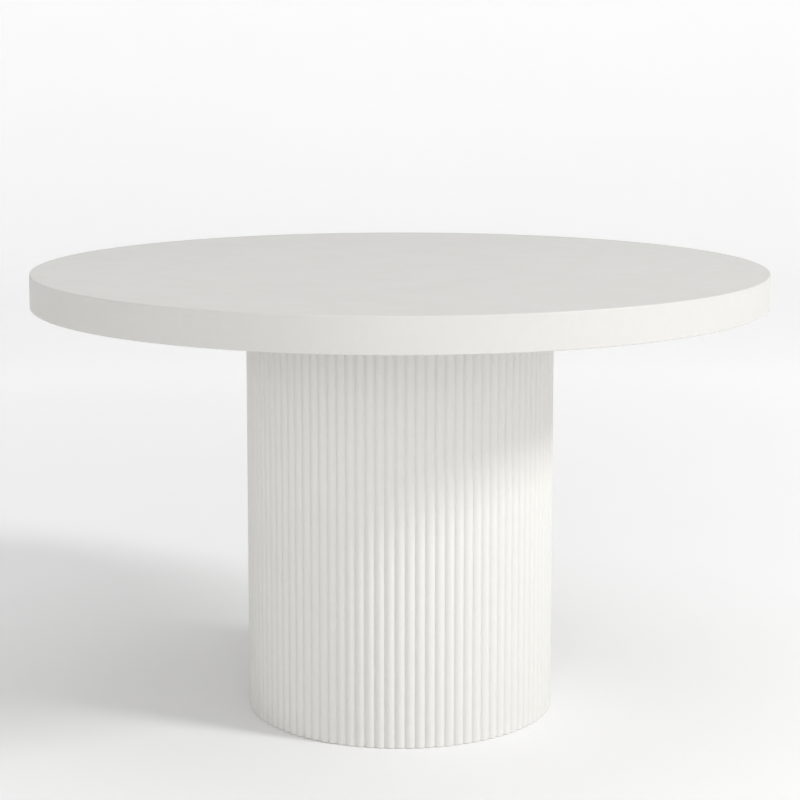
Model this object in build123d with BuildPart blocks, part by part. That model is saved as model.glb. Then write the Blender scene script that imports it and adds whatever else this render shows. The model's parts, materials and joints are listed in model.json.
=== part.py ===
from build123d import *

import os
from math import cos, radians, sin, sqrt

# Round pedestal dining table: a thick hollow-core top bolted to a reeded drum that stands on four
# levelling feet. Millimetres. The origin is the centre of the footprint on the floor, +Z is up,
# and -Y is the front.

# Driving dimensions
TABLE_HEIGHT = 762.0
TOP_DIAMETER = 1250.0
TOP_THICKNESS = 57.0
DRUM_DIAMETER = 527.0  # over the crests of the reeds
REED_COUNT = 100
REED_DEPTH = 3.6
FLOOR_GAP = 0.5  # the feet hold the drum's lacquered edge this far off the floor

# Sheet stock
SKIN_THICKNESS = 9.0  # fibreboard skins of the top
BAND_THICKNESS = 3.0  # bent strip round the rim
REED_SHEET_THICKNESS = 9.0  # reeded sheet, over its crests
LINER_THICKNESS = 6.0  # bending plywood
PLY_THICKNESS = 18.0  # bulkheads

# Top
ARRIS_RADIUS = 2.0
RIM_WIDTH = 60.0
RIM_SEGMENT_COUNT = 8
RIB_COUNT = 8
RIB_THICKNESS = 18.0
HUB_RADIUS = 150.0

# Drum
POST_COUNT = 6
POST_WIDTH = 44.0
POST_DEPTH = 22.0
MID_BULKHEAD_BASE = 350.0
MID_BULKHEAD_HOLE_RADIUS = 170.0
ACCESS_HOLE_RADIUS = 110.0
BALLAST_THICKNESS = 8.0
BALLAST_OUTER_RADIUS = 200.0
BALLAST_INNER_RADIUS = 120.0
CLAMP_PLATE_THICKNESS = 5.0
CLAMP_PLATE_OUTER_RADIUS = 130.0
CLAMP_PLATE_INNER_RADIUS = 60.0

# M8 socket-head bolts that hold the top to the drum, and the inserts they screw into
BOLT_COUNT = 6
BOLT_START_ANGLE = 30.0
BOLT_CIRCLE_RADIUS = 100.0
BOLT_RADIUS = 4.0
BOLT_LENGTH = 55.0
BOLT_HEAD_RADIUS = 6.5
BOLT_HEAD_HEIGHT = 8.0
BOLT_SOCKET_WIDTH = 6.0
BOLT_SOCKET_DEPTH = 4.0
BOLT_CLEARANCE_RADIUS = 4.5
WASHER_RADIUS = 12.0
WASHER_THICKNESS = 2.0
INSERT_RADIUS = 6.0
INSERT_LENGTH = 25.0

# Countersunk screws through the end bulkheads into the posts
SCREW_CIRCLE_RADIUS = 237.0
SCREW_RADIUS = 2.5
SCREW_LENGTH = 60.0
SCREW_HEAD_RADIUS = 5.0
SCREW_HOLE_RADIUS = 2.75

# M6 hexagon-head screws that hold the ballast ring down
BALLAST_SCREW_COUNT = 6
BALLAST_SCREW_CIRCLE_RADIUS = 160.0
BALLAST_SCREW_RADIUS = 3.0
BALLAST_SCREW_LENGTH = 22.0
BALLAST_SCREW_HEAD_WIDTH = 10.0
BALLAST_SCREW_HEAD_HEIGHT = 4.0
BALLAST_SCREW_CLEARANCE_RADIUS = 3.3

# Levelling feet: an M8 stud with a ball end, snapped into a swivelling pad
FOOT_COUNT = 4
FOOT_START_ANGLE = 45.0
FOOT_CIRCLE_RADIUS = 215.0
PAD_RADIUS = 18.0
PAD_RIM_HEIGHT = 3.0
PAD_EDGE_CHAMFER = 0.8
PAD_BOSS_RADIUS = 8.0
PAD_HEIGHT = 7.5
BALL_RADIUS = 4.0
BALL_CENTRE_HEIGHT = 5.5
BALL_CLEARANCE = 0.05
NECK_RADIUS = 2.6
HEX_BASE = 9.5
HEX_TOP = 14.0
HEX_WIDTH = 13.0
STUD_RADIUS = 4.0
STUD_LENGTH = 34.0  # above the hexagon
STUD_CHAMFER = 0.8
NUT_CLEARANCE = 0.05
NUT_BARREL_RADIUS = 5.0
NUT_BARREL_LENGTH = 12.0
NUT_FLANGE_RADIUS = 11.0
NUT_FLANGE_THICKNESS = 1.5
NUT_GAP = 0.5  # between the hexagon and the nut's flange, screwed fully in

# Heights
TOP_UNDERSIDE = TABLE_HEIGHT - TOP_THICKNESS
CORE_BASE = TOP_UNDERSIDE + SKIN_THICKNESS
CORE_THICKNESS = TOP_THICKNESS - 2 * SKIN_THICKNESS
DRUM_HEIGHT = TOP_UNDERSIDE - FLOOR_GAP
TOP_BULKHEAD_BASE = TOP_UNDERSIDE - PLY_THICKNESS
CLAMP_PLATE_BASE = TOP_BULKHEAD_BASE - CLAMP_PLATE_THICKNESS
WASHER_BASE = CLAMP_PLATE_BASE - WASHER_THICKNESS
BOLT_HEAD_BASE = WASHER_BASE - BOLT_HEAD_HEIGHT
NUT_FLANGE_BASE = HEX_TOP + NUT_GAP
BOTTOM_BULKHEAD_BASE = NUT_FLANGE_BASE + NUT_FLANGE_THICKNESS
BALLAST_BASE = BOTTOM_BULKHEAD_BASE + PLY_THICKNESS
BALLAST_TOP = BALLAST_BASE + BALLAST_THICKNESS
POST_BASE = BALLAST_BASE
POST_HEIGHT = TOP_BULKHEAD_BASE - POST_BASE

# Radii
TOP_RADIUS = TOP_DIAMETER / 2
PANEL_RADIUS = TOP_RADIUS - BAND_THICKNESS
RIM_INNER_RADIUS = PANEL_RADIUS - RIM_WIDTH
CREST_RADIUS = DRUM_DIAMETER / 2
VALLEY_RADIUS = CREST_RADIUS - REED_DEPTH
LINER_OUTER_RADIUS = CREST_RADIUS - REED_SHEET_THICKNESS
LINER_INNER_RADIUS = LINER_OUTER_RADIUS - LINER_THICKNESS
BALLAST_HOLE_DEPTH = BALLAST_SCREW_LENGTH - BALLAST_THICKNESS

REED_PITCH_ANGLE = 360.0 / REED_COUNT
# A crest faces the front and a crest faces each side, so each half of the sheet begins in a valley.
SHELL_START_ANGLES = {
    "reeded_shell_front": 180.0 + REED_PITCH_ANGLE / 2,
    "reeded_shell_back": REED_PITCH_ANGLE / 2,
}


def polar(radius, angle):
    """The point at a radius and an angle in degrees from +X."""
    return (radius * cos(radians(angle)), radius * sin(radians(angle)))


def save(block, name):
    """Labels a finished piece and writes it to its own file."""
    block.part.label = name
    export_step(block.part, f"parts/{name}.step")


def ring(outer_radius, inner_radius):
    """Draws a ring about the centre in the sketch being built."""
    Circle(outer_radius)
    Circle(inner_radius, mode=Mode.SUBTRACT)


def bolt_places():
    """Places on the bolt circle between the top and the drum."""
    return PolarLocations(BOLT_CIRCLE_RADIUS, BOLT_COUNT, start_angle=BOLT_START_ANGLE)


def screw_places():
    """Places of the screws into the posts' ends."""
    return PolarLocations(SCREW_CIRCLE_RADIUS, POST_COUNT)


def ballast_screw_places():
    """Places of the screws through the ballast ring, between the posts."""
    return PolarLocations(
        BALLAST_SCREW_CIRCLE_RADIUS, BALLAST_SCREW_COUNT, start_angle=BOLT_START_ANGLE
    )


def foot_places():
    """Places of the levelling feet."""
    return PolarLocations(FOOT_CIRCLE_RADIUS, FOOT_COUNT, start_angle=FOOT_START_ANGLE)


os.makedirs("parts", exist_ok=True)

# ---------------------------------------------------------------- top

# Upper skin: the surface people eat from.
with BuildPart() as top_panel:
    with BuildSketch(Plane.XY.offset(TABLE_HEIGHT - SKIN_THICKNESS)):
        Circle(PANEL_RADIUS)
    extrude(amount=SKIN_THICKNESS)
save(top_panel, "top_panel")

# Lower skin, drilled for the bolts from the drum.
with BuildPart() as bottom_panel:
    with BuildSketch(Plane.XY.offset(TOP_UNDERSIDE)):
        Circle(PANEL_RADIUS)
        with bolt_places():
            Circle(BOLT_CLEARANCE_RADIUS, mode=Mode.SUBTRACT)
    extrude(amount=SKIN_THICKNESS)
save(bottom_panel, "bottom_panel")

# Strip bent round the whole edge, with its upper and lower arrises eased.
with BuildPart() as edge_band:
    with BuildSketch(Plane.XY.offset(TOP_UNDERSIDE)):
        ring(TOP_RADIUS, PANEL_RADIUS)
    extrude(amount=TOP_THICKNESS)
    outer_edges = edge_band.edges().filter_by(GeomType.CIRCLE).sort_by(SortBy.RADIUS)[-2:]
    fillet(outer_edges, radius=ARRIS_RADIUS)
save(edge_band, "edge_band")

# Sawn blocks that make up the rim between the skins.
for index in range(RIM_SEGMENT_COUNT):
    segment_angle = 360.0 / RIM_SEGMENT_COUNT
    start_angle = (index - 0.5) * segment_angle
    with BuildPart() as rim_segment:
        with BuildSketch(Plane.XY.offset(CORE_BASE)):
            with BuildLine():
                outer_arc = CenterArc((0, 0), PANEL_RADIUS, start_angle, segment_angle)
                inner_arc = CenterArc((0, 0), RIM_INNER_RADIUS, start_angle, segment_angle)
                Line(outer_arc @ 0, inner_arc @ 0)
                Line(outer_arc @ 1, inner_arc @ 1)
            make_face()
        extrude(amount=CORE_THICKNESS)
    save(rim_segment, f"rim_segment_{index + 1}")

# Radial ribs of the core, trimmed to the round faces of the hub and the rim.
for index in range(RIB_COUNT):
    with BuildPart() as core_rib:
        with BuildSketch(Plane.XY.offset(CORE_BASE)):
            rib_angle = index * 360.0 / RIB_COUNT
            with PolarLocations(PANEL_RADIUS / 2, 1, start_angle=rib_angle):
                Rectangle(PANEL_RADIUS, RIB_THICKNESS)
            Circle(RIM_INNER_RADIUS, mode=Mode.INTERSECT)
            Circle(HUB_RADIUS, mode=Mode.SUBTRACT)
        extrude(amount=CORE_THICKNESS)
    save(core_rib, f"core_rib_{index + 1}")

# Solid block at the middle of the core, bored from below for the inserts.
with BuildPart() as hub_block:
    with BuildSketch(Plane.XY.offset(CORE_BASE)):
        Circle(HUB_RADIUS)
    extrude(amount=CORE_THICKNESS)
    with BuildSketch(Plane.XY.offset(CORE_BASE)):
        with bolt_places():
            Circle(INSERT_RADIUS)
    extrude(amount=INSERT_LENGTH, mode=Mode.SUBTRACT)
save(hub_block, "hub_block")

with BuildPart() as threaded_inserts:
    with BuildSketch(Plane.XY.offset(CORE_BASE)):
        with bolt_places():
            Circle(INSERT_RADIUS)
            Circle(BOLT_RADIUS, mode=Mode.SUBTRACT)
    extrude(amount=INSERT_LENGTH)
save(threaded_inserts, "threaded_inserts")

# ---------------------------------------------------------------- drum

# Reeded sheet in two bent halves. Each reed is a convex arc, and neighbours meet in a sharp valley.
for name, start_angle in SHELL_START_ANGLES.items():
    with BuildPart() as reeded_shell:
        with BuildSketch(Plane.XY.offset(FLOOR_GAP)):
            with BuildLine():
                for reed in range(REED_COUNT // 2):
                    valley_angle = start_angle + reed * REED_PITCH_ANGLE
                    ThreePointArc(
                        polar(VALLEY_RADIUS, valley_angle),
                        polar(CREST_RADIUS, valley_angle + REED_PITCH_ANGLE / 2),
                        polar(VALLEY_RADIUS, valley_angle + REED_PITCH_ANGLE),
                    )
                back_arc = CenterArc((0, 0), LINER_OUTER_RADIUS, start_angle, 180)
                Line(back_arc @ 0, polar(VALLEY_RADIUS, start_angle))
                Line(back_arc @ 1, polar(VALLEY_RADIUS, start_angle + 180))
            make_face()
        extrude(amount=DRUM_HEIGHT)
    save(reeded_shell, name)

# Bending-plywood cylinder that backs the reeded sheet and joins the bulkheads.
with BuildPart() as drum_liner:
    with BuildSketch(Plane.XY.offset(FLOOR_GAP)):
        ring(LINER_OUTER_RADIUS, LINER_INNER_RADIUS)
    extrude(amount=DRUM_HEIGHT)
save(drum_liner, "drum_liner")

# Upper bulkhead: the top sits on it. The post screws are countersunk into its upper face.
with BuildPart() as top_bulkhead:
    with BuildSketch(Plane.XY.offset(TOP_BULKHEAD_BASE)):
        Circle(LINER_INNER_RADIUS)
        with bolt_places():
            Circle(BOLT_CLEARANCE_RADIUS, mode=Mode.SUBTRACT)
    extrude(amount=PLY_THICKNESS)
    with Locations(Plane.XY.offset(TOP_UNDERSIDE)):
        with screw_places():
            CounterSinkHole(SCREW_HOLE_RADIUS, SCREW_HEAD_RADIUS, PLY_THICKNESS, 90)
save(top_bulkhead, "top_bulkhead")

# Ring half way up, notched for the posts.
with BuildPart() as mid_bulkhead:
    with BuildSketch(Plane.XY.offset(MID_BULKHEAD_BASE)):
        ring(LINER_INNER_RADIUS, MID_BULKHEAD_HOLE_RADIUS)
        with PolarLocations(LINER_INNER_RADIUS, POST_COUNT):
            Rectangle(2 * POST_DEPTH, POST_WIDTH, mode=Mode.SUBTRACT)
    extrude(amount=PLY_THICKNESS)
save(mid_bulkhead, "mid_bulkhead")

# Lower bulkhead: carries the feet and the ballast, with a hole to reach the bolts through.
with BuildPart() as bottom_bulkhead:
    with BuildSketch(Plane.XY.offset(BOTTOM_BULKHEAD_BASE)):
        ring(LINER_INNER_RADIUS, ACCESS_HOLE_RADIUS)
        with foot_places():
            Circle(NUT_BARREL_RADIUS, mode=Mode.SUBTRACT)
    extrude(amount=PLY_THICKNESS)
    with BuildSketch(Plane.XY.offset(BALLAST_BASE)):
        with ballast_screw_places():
            Circle(BALLAST_SCREW_RADIUS)
    extrude(amount=-BALLAST_HOLE_DEPTH, mode=Mode.SUBTRACT)
    with Locations(Plane((0, 0, BOTTOM_BULKHEAD_BASE), z_dir=(0, 0, -1))):
        with screw_places():
            CounterSinkHole(SCREW_HOLE_RADIUS, SCREW_HEAD_RADIUS, PLY_THICKNESS, 90)
save(bottom_bulkhead, "bottom_bulkhead")

# Posts between the end bulkheads. Their outer faces are rounded to the liner.
POST_PILOT_DEPTH = SCREW_LENGTH - PLY_THICKNESS
for index in range(POST_COUNT):
    post_angle = index * 360.0 / POST_COUNT
    with BuildPart() as post:
        with BuildSketch(Plane.XY.offset(POST_BASE)):
            with PolarLocations(LINER_INNER_RADIUS, 1, start_angle=post_angle):
                Rectangle(2 * POST_DEPTH, POST_WIDTH)
            Circle(LINER_INNER_RADIUS, mode=Mode.INTERSECT)
        extrude(amount=POST_HEIGHT)
        for pilot_base in (POST_BASE, POST_BASE + POST_HEIGHT - POST_PILOT_DEPTH):
            with BuildSketch(Plane.XY.offset(pilot_base)):
                with Locations(polar(SCREW_CIRCLE_RADIUS, post_angle)):
                    Circle(SCREW_RADIUS)
            extrude(amount=POST_PILOT_DEPTH, mode=Mode.SUBTRACT)
    save(post, f"post_{index + 1}")

# Countersunk screws, one down and one up into each post.
SCREW_HEAD_DEPTH = SCREW_HEAD_RADIUS - SCREW_RADIUS
SCREW_PLANES = (
    Plane((0, 0, TOP_UNDERSIDE), z_dir=(0, 0, -1)),
    Plane((0, 0, BOTTOM_BULKHEAD_BASE), z_dir=(0, 0, 1)),
)
UPWARDS = (Align.CENTER, Align.CENTER, Align.MIN)
with BuildPart() as post_screws:
    for screw_plane in SCREW_PLANES:
        with Locations(screw_plane):
            with screw_places():
                Cone(SCREW_HEAD_RADIUS, SCREW_RADIUS, SCREW_HEAD_DEPTH, align=UPWARDS)
                Cylinder(SCREW_RADIUS, SCREW_LENGTH, align=UPWARDS)
save(post_screws, "post_screws")

# Steel ring that spreads the pull of the bolts.
with BuildPart() as clamp_plate:
    with BuildSketch(Plane.XY.offset(CLAMP_PLATE_BASE)):
        ring(CLAMP_PLATE_OUTER_RADIUS, CLAMP_PLATE_INNER_RADIUS)
        with bolt_places():
            Circle(BOLT_CLEARANCE_RADIUS, mode=Mode.SUBTRACT)
    extrude(amount=CLAMP_PLATE_THICKNESS)
save(clamp_plate, "clamp_plate")

with BuildPart() as bolt_washers:
    with BuildSketch(Plane.XY.offset(WASHER_BASE)):
        with bolt_places():
            Circle(WASHER_RADIUS)
            Circle(BOLT_CLEARANCE_RADIUS, mode=Mode.SUBTRACT)
    extrude(amount=WASHER_THICKNESS)
save(bolt_washers, "bolt_washers")

with BuildPart() as table_bolts:
    with BuildSketch(Plane.XY.offset(BOLT_HEAD_BASE)):
        with bolt_places():
            Circle(BOLT_HEAD_RADIUS)
    extrude(amount=BOLT_HEAD_HEIGHT)
    with BuildSketch(Plane.XY.offset(BOLT_HEAD_BASE)):
        with bolt_places():
            RegularPolygon(BOLT_SOCKET_WIDTH / 2, 6, major_radius=False)
    extrude(amount=BOLT_SOCKET_DEPTH, mode=Mode.SUBTRACT)
    with BuildSketch(Plane.XY.offset(WASHER_BASE)):
        with bolt_places():
            Circle(BOLT_RADIUS)
    extrude(amount=BOLT_LENGTH)
save(table_bolts, "table_bolts")

# Steel ring that keeps the table from tipping when someone leans on its edge.
with BuildPart() as ballast_plate:
    with BuildSketch(Plane.XY.offset(BALLAST_BASE)):
        ring(BALLAST_OUTER_RADIUS, BALLAST_INNER_RADIUS)
        with ballast_screw_places():
            Circle(BALLAST_SCREW_CLEARANCE_RADIUS, mode=Mode.SUBTRACT)
    extrude(amount=BALLAST_THICKNESS)
save(ballast_plate, "ballast_plate")

with BuildPart() as ballast_screws:
    with BuildSketch(Plane.XY.offset(BALLAST_TOP)):
        with ballast_screw_places():
            RegularPolygon(BALLAST_SCREW_HEAD_WIDTH / 2, 6, major_radius=False)
    extrude(amount=BALLAST_SCREW_HEAD_HEIGHT)
    with BuildSketch(Plane.XY.offset(BALLAST_TOP)):
        with ballast_screw_places():
            Circle(BALLAST_SCREW_RADIUS)
    extrude(amount=-BALLAST_SCREW_LENGTH)
save(ballast_screws, "ballast_screws")

# ---------------------------------------------------------------- levelling feet

# Flanged nuts pressed up into the lower bulkhead.
with BuildPart() as levelling_nuts:
    with BuildSketch(Plane.XY.offset(NUT_FLANGE_BASE)):
        with foot_places():
            Circle(NUT_FLANGE_RADIUS)
    extrude(amount=NUT_FLANGE_THICKNESS)
    with BuildSketch(Plane.XY.offset(BOTTOM_BULKHEAD_BASE)):
        with foot_places():
            Circle(NUT_BARREL_RADIUS)
    extrude(amount=NUT_BARREL_LENGTH)
    with BuildSketch(Plane.XY.offset(NUT_FLANGE_BASE)):
        with foot_places():
            Circle(STUD_RADIUS + NUT_CLEARANCE)
    extrude(amount=NUT_FLANGE_THICKNESS + NUT_BARREL_LENGTH, mode=Mode.SUBTRACT)
save(levelling_nuts, "levelling_nuts")

SOCKET_RADIUS = BALL_RADIUS + BALL_CLEARANCE
SOCKET_FLOOR = BALL_CENTRE_HEIGHT - SOCKET_RADIUS
MOUTH_RADIUS = sqrt(SOCKET_RADIUS**2 - (PAD_HEIGHT - BALL_CENTRE_HEIGHT) ** 2)
NECK_BASE = BALL_CENTRE_HEIGHT + sqrt(BALL_RADIUS**2 - NECK_RADIUS**2)
STUD_TOP = HEX_TOP + STUD_LENGTH

for index in range(FOOT_COUNT):
    foot_x, foot_y = polar(FOOT_CIRCLE_RADIUS, FOOT_START_ANGLE + index * 360.0 / FOOT_COUNT)
    foot_axis = Axis((foot_x, foot_y, 0), (0, 0, 1))
    side_plane = Plane((foot_x, foot_y, 0), x_dir=(1, 0, 0), z_dir=(0, -1, 0))

    # Round pad with a boss that holds the ball.
    with BuildPart() as foot_pad:
        with BuildSketch(side_plane):
            with BuildLine():
                Polyline(
                    (0, SOCKET_FLOOR),
                    (0, 0),
                    (PAD_RADIUS - PAD_EDGE_CHAMFER, 0),
                    (PAD_RADIUS, PAD_EDGE_CHAMFER),
                    (PAD_RADIUS, PAD_RIM_HEIGHT),
                    (PAD_BOSS_RADIUS, PAD_HEIGHT),
                    (MOUTH_RADIUS, PAD_HEIGHT),
                )
                ThreePointArc(
                    (MOUTH_RADIUS, PAD_HEIGHT),
                    (SOCKET_RADIUS, BALL_CENTRE_HEIGHT),
                    (0, SOCKET_FLOOR),
                )
            make_face()
        revolve(axis=foot_axis)
    save(foot_pad, f"foot_pad_{index + 1}")

    # Stud: ball, neck, hexagon for a spanner, and the threaded length.
    with BuildPart() as foot_stud:
        with BuildSketch(side_plane):
            with BuildLine():
                ThreePointArc(
                    (0, BALL_CENTRE_HEIGHT - BALL_RADIUS),
                    (BALL_RADIUS, BALL_CENTRE_HEIGHT),
                    (NECK_RADIUS, NECK_BASE),
                )
                Polyline(
                    (NECK_RADIUS, NECK_BASE),
                    (NECK_RADIUS, HEX_TOP),
                    (STUD_RADIUS, HEX_TOP),
                    (STUD_RADIUS, STUD_TOP - STUD_CHAMFER),
                    (STUD_RADIUS - STUD_CHAMFER, STUD_TOP),
                    (0, STUD_TOP),
                    (0, BALL_CENTRE_HEIGHT - BALL_RADIUS),
                )
            make_face()
        revolve(axis=foot_axis)
        with BuildSketch(Plane.XY.offset(HEX_BASE)):
            with Locations((foot_x, foot_y)):
                RegularPolygon(HEX_WIDTH / 2, 6, major_radius=False)
        extrude(amount=HEX_TOP - HEX_BASE)
    save(foot_stud, f"foot_stud_{index + 1}")
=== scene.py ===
import json
import math

import bmesh
import bpy
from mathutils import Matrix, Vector


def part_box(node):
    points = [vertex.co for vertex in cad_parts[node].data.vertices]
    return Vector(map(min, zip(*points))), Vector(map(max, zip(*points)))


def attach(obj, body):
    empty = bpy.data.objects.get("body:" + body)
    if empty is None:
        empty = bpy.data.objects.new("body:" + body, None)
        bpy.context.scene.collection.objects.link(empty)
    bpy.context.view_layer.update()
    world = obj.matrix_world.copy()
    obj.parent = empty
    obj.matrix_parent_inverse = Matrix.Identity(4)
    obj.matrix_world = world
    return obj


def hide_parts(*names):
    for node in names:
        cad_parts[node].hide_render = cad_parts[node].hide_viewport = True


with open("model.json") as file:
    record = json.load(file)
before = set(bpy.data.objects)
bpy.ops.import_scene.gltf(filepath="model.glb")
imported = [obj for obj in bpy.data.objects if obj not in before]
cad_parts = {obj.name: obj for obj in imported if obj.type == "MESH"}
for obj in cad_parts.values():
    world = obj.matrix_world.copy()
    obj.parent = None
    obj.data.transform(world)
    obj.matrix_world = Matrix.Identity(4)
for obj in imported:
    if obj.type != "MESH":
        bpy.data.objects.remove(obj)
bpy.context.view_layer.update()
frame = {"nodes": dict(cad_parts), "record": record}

# Round pedestal table in a pale studio. Metres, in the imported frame: +Z up, -Y the front.
# The lacquered surfaces are fine meshes that stand for their CAD nodes. The pieces inside the top
# and the drum are the CAD nodes themselves, with materials.

TABLE = "table"  # the body that everything but the feet rides on
FULL_TURN = 2 * math.pi

# ---------------------------------------------------------------- sizes

# Top, from the frame
TOP_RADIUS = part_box("edge_band")[1].x
TOP_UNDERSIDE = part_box("edge_band")[0].z
TOP_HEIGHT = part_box("edge_band")[1].z
PANEL_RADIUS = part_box("top_panel")[1].x
SKIN_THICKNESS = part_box("top_panel")[1].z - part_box("top_panel")[0].z
ARRIS_RADIUS = 0.002
BOLT_COUNT = 6
BOLT_START_ANGLE = math.radians(30)
BOLT_CIRCLE_RADIUS = 0.100
BOLT_HOLE_RADIUS = 0.0045

# Drum
DRUM_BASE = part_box("drum_liner")[0].z
DRUM_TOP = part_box("drum_liner")[1].z
SHEET_BACK_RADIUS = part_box("drum_liner")[1].x
REED_SHEET_THICKNESS = 0.009  # over its crests
CREST_RADIUS = SHEET_BACK_RADIUS + REED_SHEET_THICKNESS
REED_COUNT = 100
REED_DEPTH = 0.0036
VALLEY_FILLET = 0.0006  # lacquer gathered in the valleys
FOOT_EASE = 0.0009  # sanded lower edge of the reeds
HEAD_EASE = 0.0004  # upper edge, under the top
SHELL_START_ANGLES = {
    "reeded_shell_front": math.pi + math.pi / REED_COUNT,
    "reeded_shell_back": math.pi / REED_COUNT,
}

# Mesh density
RIM_SEGMENTS = 384
TOP_RING_SHARES = (0.8, 0.6, 0.4, 0.2)  # rings on the top's face, as shares of its radius
HOLE_SEGMENTS = 32
ARRIS_STEPS = 6
REED_STEPS = 8  # from a reed's crest to its valley
FILLET_STEPS = 3  # from a reed's side to the valley's floor
EASE_STEPS = 4
SUPPORT = 0.0005  # extra ring beside each rounded edge, which keeps the flat beyond it flat

SMOOTH_LIMIT = math.radians(35)
WELD_DISTANCE = 0.000001


# ---------------------------------------------------------------- mesh making


def finished(bm, name):
    """Turns a bmesh into a smooth-shaded object whose sharp edges stay sharp."""
    bmesh.ops.recalc_face_normals(bm, faces=bm.faces)
    mesh = bpy.data.meshes.new(name)
    bm.to_mesh(mesh)
    bm.free()
    piece = bpy.data.objects.new(name, mesh)
    bpy.context.scene.collection.objects.link(piece)
    mesh.shade_smooth()
    mesh.set_sharp_from_angle(angle=SMOOTH_LIMIT)
    return piece


def circle(radius, segments, centre=(0.0, 0.0)):
    """Points evenly round a circle, the first at +X."""
    angles = [FULL_TURN * step / segments for step in range(segments)]
    return [(centre[0] + radius * math.cos(a), centre[1] + radius * math.sin(a)) for a in angles]


def quarter_round(centre, radius, start, steps):
    """Points of a quarter circle in an outline, from the start angle in quarter turns."""
    angles = [(start + step / steps) * math.pi / 2 for step in range(steps + 1)]
    return [(centre[0] + radius * math.cos(a), centre[1] + radius * math.sin(a)) for a in angles]


def turned(name, outline, segments=RIM_SEGMENTS, closed=True):
    """Turns an outline of (radius, height) points about Z. A point on the axis is one vertex."""
    bm = bmesh.new()
    rings = []
    for radius, height in outline:
        around = circle(radius, segments) if radius > 0 else [(0.0, 0.0)]
        rings.append([bm.verts.new((x, y, height)) for x, y in around])
    pairs = list(zip(rings, rings[1:]))
    if closed:
        pairs.append((rings[-1], rings[0]))
    for ring, following in pairs:
        for index in range(segments):
            ahead = index + 1
            corners = [
                ring[index % len(ring)],
                ring[ahead % len(ring)],
                following[ahead % len(following)],
                following[index % len(following)],
            ]
            corners = list(dict.fromkeys(corners))
            if len(corners) > 2:
                bm.faces.new(corners)
    return finished(bm, name)


def pierced_disc(name, radius, holes, low, high):
    """A flat disc with round holes, filled as a plane curve and given its thickness."""
    curve = bpy.data.curves.new(name, "CURVE")
    curve.dimensions = "2D"
    curve.fill_mode = "BOTH"
    curve.extrude = (high - low) / 2
    for loop in [circle(radius, RIM_SEGMENTS)] + [circle(r, HOLE_SEGMENTS, at) for r, at in holes]:
        spline = curve.splines.new("POLY")
        spline.points.add(len(loop) - 1)
        for point, (x, y) in zip(spline.points, loop):
            point.co = (x, y, 0.0, 1.0)
        spline.use_cyclic_u = True
    outline = bpy.data.objects.new(name + "_outline", curve)
    bpy.context.scene.collection.objects.link(outline)
    filled = outline.evaluated_get(bpy.context.evaluated_depsgraph_get())
    bm = bmesh.new()
    bm.from_mesh(bpy.data.meshes.new_from_object(filled))
    bmesh.ops.remove_doubles(bm, verts=bm.verts, dist=WELD_DISTANCE)
    bmesh.ops.translate(bm, verts=bm.verts, vec=(0.0, 0.0, (low + high) / 2))
    bpy.data.objects.remove(outline)
    return finished(bm, name)


# ---------------------------------------------------------------- lacquered pieces


def make_top_panel():
    """Upper skin: the face people eat from."""
    low, high = TOP_HEIGHT - SKIN_THICKNESS, TOP_HEIGHT
    outline = [(0.0, low), (PANEL_RADIUS, low), (PANEL_RADIUS, high)]
    outline += [(PANEL_RADIUS * share, high) for share in TOP_RING_SHARES] + [(0.0, high)]
    return turned("top_face", outline)


def make_bottom_panel():
    """Lower skin, with the holes of the bolts from the drum."""
    holes = [
        (BOLT_HOLE_RADIUS, (BOLT_CIRCLE_RADIUS * math.cos(a), BOLT_CIRCLE_RADIUS * math.sin(a)))
        for a in [BOLT_START_ANGLE + FULL_TURN * bolt / BOLT_COUNT for bolt in range(BOLT_COUNT)]
    ]
    low, high = TOP_UNDERSIDE, TOP_UNDERSIDE + SKIN_THICKNESS
    return pierced_disc("underside_face", PANEL_RADIUS, holes, low, high)


def make_edge_band():
    """Strip round the edge of the top, with both arrises eased."""
    centre = TOP_RADIUS - ARRIS_RADIUS
    lower = quarter_round((centre, TOP_UNDERSIDE + ARRIS_RADIUS), ARRIS_RADIUS, 3, ARRIS_STEPS)
    upper = quarter_round((centre, TOP_HEIGHT - ARRIS_RADIUS), ARRIS_RADIUS, 0, ARRIS_STEPS)
    support = [
        (TOP_RADIUS, TOP_UNDERSIDE + ARRIS_RADIUS + SUPPORT),
        (TOP_RADIUS, TOP_HEIGHT - ARRIS_RADIUS - SUPPORT),
    ]
    inner = [(PANEL_RADIUS, TOP_HEIGHT), (PANEL_RADIUS, TOP_UNDERSIDE)]
    return turned("edge_face", lower + support + upper + inner)


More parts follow.
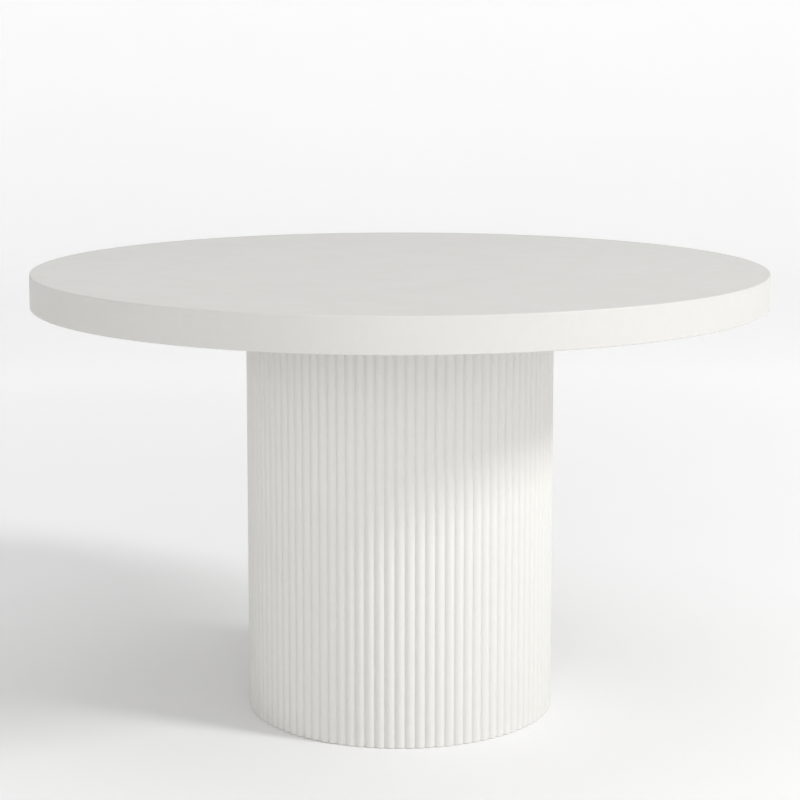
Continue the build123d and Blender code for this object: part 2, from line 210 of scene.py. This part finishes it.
def reed_profile():
    """One reed seen from above, as (radius, angle) points from a valley's floor to the next.

    The reed is an arc through its two valleys and its crest. A small fillet, tangent to both
    reeds, rounds each valley's floor.
    """
    half_pitch = math.pi / REED_COUNT
    valley_radius = CREST_RADIUS - REED_DEPTH
    half_chord = valley_radius * math.sin(half_pitch)
    rise = CREST_RADIUS - valley_radius * math.cos(half_pitch)
    reed_radius = (half_chord**2 + rise**2) / (2 * rise)
    reed_centre = CREST_RADIUS - reed_radius

    # The fillet's centre is on the valley's line, one reed radius and one fillet radius away.
    sideways = reed_centre * math.sin(half_pitch)
    reach = math.sqrt((reed_radius + VALLEY_FILLET) ** 2 - sideways**2)
    fillet_distance = reed_centre * math.cos(half_pitch) + reach
    fillet_x = fillet_distance * math.cos(half_pitch)
    fillet_y = fillet_distance * math.sin(half_pitch)
    contact = math.atan2(fillet_y, fillet_x - reed_centre)

    half = []
    for step in range(REED_STEPS + 1):
        angle = contact * step / REED_STEPS
        half.append((reed_centre + reed_radius * math.cos(angle), reed_radius * math.sin(angle)))
    for step in range(1, FILLET_STEPS + 1):
        angle = math.pi + contact + (half_pitch - contact) * step / FILLET_STEPS
        half.append(
            (
                fillet_x + VALLEY_FILLET * math.cos(angle),
                fillet_y + VALLEY_FILLET * math.sin(angle),
            )
        )
    whole = [(x, -y) for x, y in reversed(half[1:])] + half
    return [(math.hypot(x, y), math.atan2(y, x)) for x, y in whole]


def make_reeded_shell(node, start_angle):
    """Half of the reeded sheet: the reeds' outline swept up the drum, on a round back."""
    pitch = FULL_TURN / REED_COUNT
    one_reed = reed_profile()
    around = []
    for reed in range(REED_COUNT // 2):
        middle = start_angle + (reed + 0.5) * pitch
        around += [(radius, middle + angle) for radius, angle in one_reed[:-1]]
    around.append((one_reed[-1][0], start_angle + math.pi))

    # The outer face's heights, each with how far its eased edge stands in from the reeds.
    foot = quarter_round((FOOT_EASE, DRUM_BASE + FOOT_EASE), FOOT_EASE, 3, EASE_STEPS)
    head = quarter_round((HEAD_EASE, DRUM_TOP - HEAD_EASE), HEAD_EASE, 0, EASE_STEPS)
    outer = [(2 * FOOT_EASE - out, height) for out, height in foot]
    outer.append((0.0, DRUM_BASE + FOOT_EASE + SUPPORT))
    outer.append((0.0, DRUM_TOP - HEAD_EASE - SUPPORT))
    outer += [(2 * HEAD_EASE - out, height) for out, height in head]

    bm = bmesh.new()
    sections = []
    for radius, angle in around:
        across = [(radius - inset, height) for inset, height in outer]
        across += [(SHEET_BACK_RADIUS, DRUM_TOP), (SHEET_BACK_RADIUS, DRUM_BASE)]
        sections.append(
            [bm.verts.new((r * math.cos(angle), r * math.sin(angle), z)) for r, z in across]
        )
    for section, following in zip(sections, sections[1:]):
        for index in range(len(section)):
            ahead = (index + 1) % len(section)
            bm.faces.new((section[index], section[ahead], following[ahead], following[index]))
    bm.faces.new(sections[0])
    bm.faces.new(sections[-1])
    return finished(bm, node.replace("shell", "face"))


# ---------------------------------------------------------------- materials


FLAT_PLY = 0.0015  # veneer thickness in the bulkheads
BENT_PLY = 0.002  # and in the drum's liner


class Surface:
    """A procedural material on the Principled shader, in the coordinates of the piece."""

    def __init__(self, name, **constants):
        self.material = bpy.data.materials.new(name)
        self.material.use_nodes = True
        self.nodes = self.material.node_tree.nodes
        self.links = self.material.node_tree.links
        self.shader = self.nodes["Principled BSDF"]
        for socket, value in constants.items():
            self.shader.inputs[socket.replace("_", " ")].default_value = value
        self.place = self.add("ShaderNodeTexCoord").outputs["Object"]

    def add(self, kind, inputs=None, **settings):
        """A new node, with its settings and its inputs as values or links."""
        node = self.nodes.new(kind)
        for setting, value in settings.items():
            setattr(node, setting, value)
        for socket, value in (inputs or {}).items():
            if isinstance(value, bpy.types.NodeSocket):
                self.links.new(value, node.inputs[socket])
            else:
                node.inputs[socket].default_value = value
        return node

    def noise(self, scale, detail=2.0, stretch=(1.0, 1.0, 1.0)):
        """Noise from 0 to 1. The scale is in waves a metre, and stretch multiplies it by axis."""
        mapping = self.add("ShaderNodeMapping", {"Vector": self.place, "Scale": stretch})
        return self.add(
            "ShaderNodeTexNoise",
            {"Vector": mapping.outputs["Vector"], "Scale": scale, "Detail": detail},
        ).outputs["Fac"]

    def spread(self, value, low, high, span=(0.3, 0.7)):
        """The value's usual span carried to the range from low to high."""
        return self.add(
            "ShaderNodeMapRange",
            {
                "Value": value,
                "From Min": span[0],
                "From Max": span[1],
                "To Min": low,
                "To Max": high,
            },
        ).outputs["Result"]

    def ramp(self, value, *stops):
        """Colour by value, from stops of (position, colour)."""
        node = self.add("ShaderNodeValToRGB", {"Fac": value})
        elements = node.color_ramp.elements
        while len(elements) < len(stops):
            elements.new(1.0)
        for element, (position, colour) in zip(elements, stops):
            element.position = position
            element.color = (*colour, 1.0)
        return node.outputs["Color"]

    def mixed(self, share, first, second, blend="MIX"):
        """Two colours mixed by a share, which is a socket or a number."""
        node = self.add(
            "ShaderNodeMix",
            {"Factor": share, "A": first, "B": second},
            data_type="RGBA",
            blend_type=blend,
        )
        return node.outputs["Result"]

    def bump(self, height, distance):
        """A bumped normal. The distance is what a height of 1 stands for, in metres."""
        inputs = {"Height": height, "Distance": distance, "Strength": 1.0}
        return self.add("ShaderNodeBump", inputs).outputs["Normal"]

    def from_axis(self):
        """The distance from the upright axis."""
        flat = self.add(
            "ShaderNodeVectorMath", {0: self.place, 1: (1.0, 1.0, 0.0)}, operation="MULTIPLY"
        ).outputs["Vector"]
        return self.add("ShaderNodeVectorMath", {0: flat}, operation="LENGTH").outputs["Value"]

    def level(self):
        """1 on level faces, whichever way they face, and 0 on upright ones."""
        normal = self.add("ShaderNodeTexCoord").outputs["Normal"]
        upward = self.add("ShaderNodeSeparateXYZ", {0: normal}).outputs["Z"]
        upward = self.add("ShaderNodeMath", {0: upward}, operation="ABSOLUTE").outputs["Value"]
        return self.spread(upward, 0.0, 1.0, span=(0.45, 0.55))

    def finish(self, **outputs):
        """Links values to the shader's sockets."""
        for socket, value in outputs.items():
            self.links.new(value, self.shader.inputs[socket.replace("_", " ")])
        return self.material


def lacquer(name, light, dark, gloss, peel):
    """Sprayed satin lacquer: a warm white that drifts a little, with faint orange peel."""
    surface = Surface(name, Specular_IOR_Level=0.4)
    drift = surface.ramp(surface.noise(1.7, 3.0), (0.3, dark), (0.7, light))
    mist = surface.ramp(surface.noise(90.0, 4.0), (0.35, (0.985,) * 3), (0.65, (1.0,) * 3))
    colour = surface.mixed(1.0, drift, mist, blend="MULTIPLY")
    roughness = surface.spread(surface.noise(14.0, 4.0), gloss[0], gloss[1])
    normal = surface.bump(surface.noise(380.0, 1.5), peel)
    return surface.finish(Base_Color=colour, Roughness=roughness, Normal=normal)


def fibreboard():
    """Sanded fibreboard: brown, with short fibres and dark specks."""
    surface = Surface("raw_fibreboard", Specular_IOR_Level=0.25)
    fibres = surface.noise(260.0, 5.0, stretch=(1.0, 2.6, 1.6))
    ground = surface.ramp(
        fibres, (0.3, (0.36, 0.245, 0.145)), (0.52, (0.43, 0.30, 0.185)), (0.7, (0.50, 0.37, 0.24))
    )
    cloud = surface.ramp(surface.noise(12.0, 3.0), (0.3, (0.93,) * 3), (0.7, (1.0,) * 3))
    colour = surface.mixed(1.0, ground, cloud, blend="MULTIPLY")
    roughness = surface.spread(fibres, 0.78, 0.9)
    return surface.finish(
        Base_Color=colour, Roughness=roughness, Normal=surface.bump(fibres, 0.00012)
    )


def veneer(surface, stretch):
    """Birch face grain: long fibres one way, with slow figure across them."""
    grain = surface.noise(26.0, 6.0, stretch=stretch)
    figure = surface.noise(3.0, 2.0, stretch=stretch)
    fibre = surface.ramp(
        grain, (0.3, (0.58, 0.42, 0.25)), (0.5, (0.69, 0.53, 0.34)), (0.7, (0.76, 0.62, 0.43))
    )
    tone = surface.ramp(figure, (0.35, (0.9, 0.87, 0.82)), (0.65, (1.0, 1.0, 1.0)))
    return grain, surface.mixed(1.0, fibre, tone, blend="MULTIPLY")


def layers(surface, depth, ply):
    """Cut edge of plywood: veneers a ply thick, in turn pale along and dark across the grain."""
    turn = surface.add(
        "ShaderNodeMath", {0: depth, 1: math.pi / ply}, operation="MULTIPLY"
    ).outputs["Value"]
    wave = surface.add("ShaderNodeMath", {0: turn}, operation="SINE").outputs["Value"]
    return surface.ramp(
        surface.spread(wave, 0.0, 1.0, span=(-0.35, 0.35)),
        (0.0, (0.40, 0.27, 0.15)),
        (1.0, (0.72, 0.56, 0.36)),
    )


def plywood():
    """Flat birch plywood: face grain above and below, layers on its edges."""
    surface = Surface("birch_plywood", Specular_IOR_Level=0.3)
    grain, face = veneer(surface, (0.12, 1.0, 1.0))
    depth = surface.add("ShaderNodeSeparateXYZ", {0: surface.place}).outputs["Z"]
    colour = surface.mixed(surface.level(), layers(surface, depth, FLAT_PLY), face)
    roughness = surface.spread(grain, 0.6, 0.75)
    return surface.finish(
        Base_Color=colour, Roughness=roughness, Normal=surface.bump(grain, 0.00006)
    )


def bent_plywood():
    """Plywood bent to a cylinder: grain up its walls, layers in rings on its ends."""
    surface = Surface("bending_plywood", Specular_IOR_Level=0.3)
    grain, face = veneer(surface, (1.0, 1.0, 0.1))
    ends = layers(surface, surface.from_axis(), BENT_PLY)
    colour = surface.mixed(surface.level(), face, ends)
    roughness = surface.spread(grain, 0.62, 0.78)
    return surface.finish(
        Base_Color=colour, Roughness=roughness, Normal=surface.bump(grain, 0.00008)
    )


def pine():
    """Planed softwood posts: growth bands up the length and fine fibres."""
    surface = Surface("planed_pine", Specular_IOR_Level=0.35)
    wander = surface.add(
        "ShaderNodeMapping", {"Vector": surface.place, "Scale": (1.0, 1.0, 0.06)}
    ).outputs["Vector"]
    bands = surface.add(
        "ShaderNodeTexWave",
        {"Vector": wander, "Scale": 38.0, "Distortion": 5.0, "Detail": 2.0, "Detail Scale": 1.4},
        wave_type="BANDS",
        bands_direction="DIAGONAL",
    ).outputs["Fac"]
    fibres = surface.noise(170.0, 4.0, stretch=(1.0, 1.0, 0.05))
    ground = surface.ramp(
        bands, (0.0, (0.80, 0.62, 0.37)), (0.7, (0.72, 0.51, 0.27)), (1.0, (0.55, 0.34, 0.16))
    )
    shade = surface.ramp(fibres, (0.3, (0.92,) * 3), (0.7, (1.0,) * 3))
    colour = surface.mixed(1.0, ground, shade, blend="MULTIPLY")
    roughness = surface.spread(fibres, 0.5, 0.65)
    return surface.finish(
        Base_Color=colour, Roughness=roughness, Normal=surface.bump(fibres, 0.00005)
    )


def zinc_steel():
    """Zinc-plated steel: bright, with soft clouds in the plate."""
    surface = Surface("zinc_plate", Metallic=1.0)
    clouds = surface.noise(110.0, 4.0)
    colour = surface.ramp(clouds, (0.3, (0.54, 0.55, 0.57)), (0.7, (0.70, 0.71, 0.72)))
    roughness = surface.spread(clouds, 0.26, 0.42)
    fine = surface.noise(900.0, 2.0)
    return surface.finish(
        Base_Color=colour, Roughness=roughness, Normal=surface.bump(fine, 0.00001)
    )


def black_steel():
    """Black powder coat: a fine even texture, slightly paler where it is thin."""
    surface = Surface("black_powder_coat", Specular_IOR_Level=0.45)
    texture = surface.noise(700.0, 3.0)
    colour = surface.ramp(
        surface.noise(30.0, 3.0), (0.3, (0.018, 0.018, 0.020)), (0.7, (0.035, 0.035, 0.038))
    )
    roughness = surface.spread(texture, 0.48, 0.64)
    return surface.finish(
        Base_Color=colour, Roughness=roughness, Normal=surface.bump(texture, 0.00006)
    )


def black_nylon():
    """Moulded nylon: matt, with the mould's fine spark texture and a little scuffing."""
    surface = Surface("moulded_nylon", Specular_IOR_Level=0.4)
    texture = surface.noise(1400.0, 2.0)
    scuffs = surface.noise(120.0, 5.0, stretch=(1.0, 0.3, 1.0))
    colour = surface.ramp(scuffs, (0.45, (0.016, 0.016, 0.017)), (0.75, (0.05, 0.05, 0.052)))
    roughness = surface.spread(scuffs, 0.42, 0.6)
    return surface.finish(
        Base_Color=colour, Roughness=roughness, Normal=surface.bump(texture, 0.00002)
    )


# ---------------------------------------------------------------- studio


STUDIO_FLOOR_RADIUS = 6.5
STUDIO_COVE_RADIUS = 2.5
STUDIO_WALL_HEIGHT = 3.6
STUDIO_SEGMENTS = 128
COVE_STEPS = 16
GLOW_SPAN = (1.0, 3.6)  # radii over which the light through the sweep grows to its full strength
GLOW_STRENGTH = 0.205
UNDERSIDE_GLOW_SPAN = (0.235, 0.262)  # radii over which the light beneath the drum fades out
UNDERSIDE_GLOW_STRENGTH = 0.6


def make_studio():
    """A round white sweep: floor, cove and wall in one, seen only from its inner side."""
    cove_centre = (STUDIO_FLOOR_RADIUS, STUDIO_COVE_RADIUS)
    cove = quarter_round(cove_centre, STUDIO_COVE_RADIUS, 3, COVE_STEPS)
    wall = [(STUDIO_FLOOR_RADIUS + STUDIO_COVE_RADIUS, STUDIO_WALL_HEIGHT)]
    sweep = turned("studio_sweep", [(0.0, 0.0)] + cove + wall, STUDIO_SEGMENTS, closed=False)
    if sweep.data.polygons[0].normal.z < 0:
        sweep.data.flip_normals()
    paper = Surface(
        "studio_paper",
        Roughness=0.9,
        Specular_IOR_Level=0.1,
        Emission_Color=(1.0, 1.0, 1.0, 1.0),
    )
    tone = paper.ramp(paper.noise(0.6, 2.0), (0.3, (0.925,) * 3), (0.7, (0.935,) * 3))
    out = paper.from_axis()
    glow = paper.spread(out, 0.0, GLOW_STRENGTH, span=GLOW_SPAN)
    beneath = paper.spread(out, UNDERSIDE_GLOW_STRENGTH, 0.0, span=UNDERSIDE_GLOW_SPAN)
    both = paper.add("ShaderNodeMath", {0: glow, 1: beneath}, operation="ADD").outputs["Value"]
    material = paper.finish(Base_Color=tone, Emission_Strength=both)
    # The glow is broad and even, so light samples aimed at it would gain nothing.
    material.cycles.emission_sampling = "NONE"
    clear = paper.add("ShaderNodeBsdfTransparent").outputs["BSDF"]
    outside = paper.add("ShaderNodeNewGeometry").outputs["Backfacing"]
    shown = paper.add(
        "ShaderNodeMixShader", {0: outside, 1: paper.shader.outputs["BSDF"], 2: clear}
    )
    paper.links.new(shown.outputs["Shader"], paper.nodes["Material Output"].inputs["Surface"])
    sweep.data.materials.append(material)


# Each round white panel: azimuth from the front towards +X and elevation in degrees, then
# distance and width in metres, and power in watts.
LIGHTS = {
    "key": (66, 34, 8.0, 1.6, 300),
    "front_fill": (0, 20, 4.8, 2.4, 34),
    "overhead": (0, 90, 3.2, 3.0, 21),
}
SKY_COLOUR = (1.0, 1.0, 1.0, 1.0)
SKY_STRENGTH = 0.49
LIGHT_TARGET = Vector((0.0, 0.0, 0.4))


def make_lights():
    """Soft panels that face the table, and an even sky above the sweep."""
    for name, (azimuth, elevation, distance, width, power) in LIGHTS.items():
        data = bpy.data.lights.new(name, "AREA")
        data.shape = "DISK"
        data.size = width
        data.energy = power
        light = bpy.data.objects.new(name, data)
        bpy.context.scene.collection.objects.link(light)
        a, e = math.radians(azimuth), math.radians(elevation)
        towards = Vector((math.sin(a) * math.cos(e), -math.cos(a) * math.cos(e), math.sin(e)))
        light.location = LIGHT_TARGET + distance * towards
        light.rotation_euler = towards.to_track_quat("Z", "Y").to_euler()
        light.visible_camera = False
    world = bpy.data.worlds.new("sky")
    world.use_nodes = True
    background = world.node_tree.nodes["Background"]
    background.inputs["Color"].default_value = SKY_COLOUR
    background.inputs["Strength"].default_value = SKY_STRENGTH
    bpy.context.scene.world = world


# A long lens a little above the top, tilted and shifted down
CAMERA_DISTANCE = 3.518
CAMERA_HEIGHT = 1.154
CAMERA_PITCH = math.radians(7.17)
CAMERA_LENS = 93.1
CAMERA_SHIFT = -0.13


def make_camera():
    """Straight in front, a little over the top's height, looking slightly down."""
    data = bpy.data.cameras.new("camera")
    data.lens = CAMERA_LENS
    data.shift_y = CAMERA_SHIFT
    camera = bpy.data.objects.new("camera", data)
    bpy.context.scene.collection.objects.link(camera)
    camera.location = (0.0, -CAMERA_DISTANCE, CAMERA_HEIGHT)
    camera.rotation_euler = (math.pi / 2 - CAMERA_PITCH, 0.0, 0.0)
    bpy.context.scene.camera = camera


# ---------------------------------------------------------------- assembly


# Paler and darker white, then the range of the roughness and the height of the orange peel
TOP_WHITE = lacquer(
    "satin_white_lacquer", (0.650, 0.643, 0.620), (0.638, 0.631, 0.608), (0.40, 0.48), 0.00002
)
# Painted shade: the edge band has the top's lacquer, painted a little darker so its edge renders
# dimmer.
EDGE_WHITE_PAINTED_SHADE = lacquer(
    "edge_lacquer_painted_shade", (0.628, 0.620, 0.594), (0.616, 0.608, 0.583), (0.40, 0.48), 0.00002
)
# Painted light: the reeds have the top's lacquer, painted about a tenth lighter in place of light
# the drum lacks, such as bounce from the floor.
REED_WHITE_PAINTED_LIGHT = lacquer(
    "reeds_lacquer_painted_light", (0.725, 0.718, 0.693), (0.713, 0.706, 0.681), (0.40, 0.48), 0.00002
)
UNDERSIDE_WHITE = lacquer(
    "sealer_white_lacquer", (0.61, 0.60, 0.575), (0.59, 0.58, 0.555), (0.55, 0.68), 0.00004
)


def add_lacquered(piece, node, material):
    """Puts a lacquered mesh in its CAD node's place."""
    piece.data.materials.append(material)
    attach(piece, TABLE)
    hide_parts(node)


add_lacquered(make_top_panel(), "top_panel", TOP_WHITE)
add_lacquered(make_edge_band(), "edge_band", EDGE_WHITE_PAINTED_SHADE)
add_lacquered(make_bottom_panel(), "bottom_panel", UNDERSIDE_WHITE)
for shell, angle in SHELL_START_ANGLES.items():
    add_lacquered(make_reeded_shell(shell, angle), shell, REED_WHITE_PAINTED_LIGHT)

HIDDEN_MATERIALS = {
    "raw_fibreboard": fibreboard(),
    "plywood": plywood(),
    "pine": pine(),
    "zinc_steel": zinc_steel(),
    "black_steel": black_steel(),
    "black_nylon": black_nylon(),
}
BENT_PLYWOOD = bent_plywood()
for part in frame["record"]["subparts"]:
    slot = part["material_slot"]
    if slot in HIDDEN_MATERIALS:
        node = frame["nodes"][part["node"]]
        node.data.materials.clear()
        node.data.materials.append(
            BENT_PLYWOOD if part["node"] == "drum_liner" else HIDDEN_MATERIALS[slot]
        )

make_studio()
make_lights()
make_camera()
bpy.context.scene.view_settings.view_transform = "Standard"
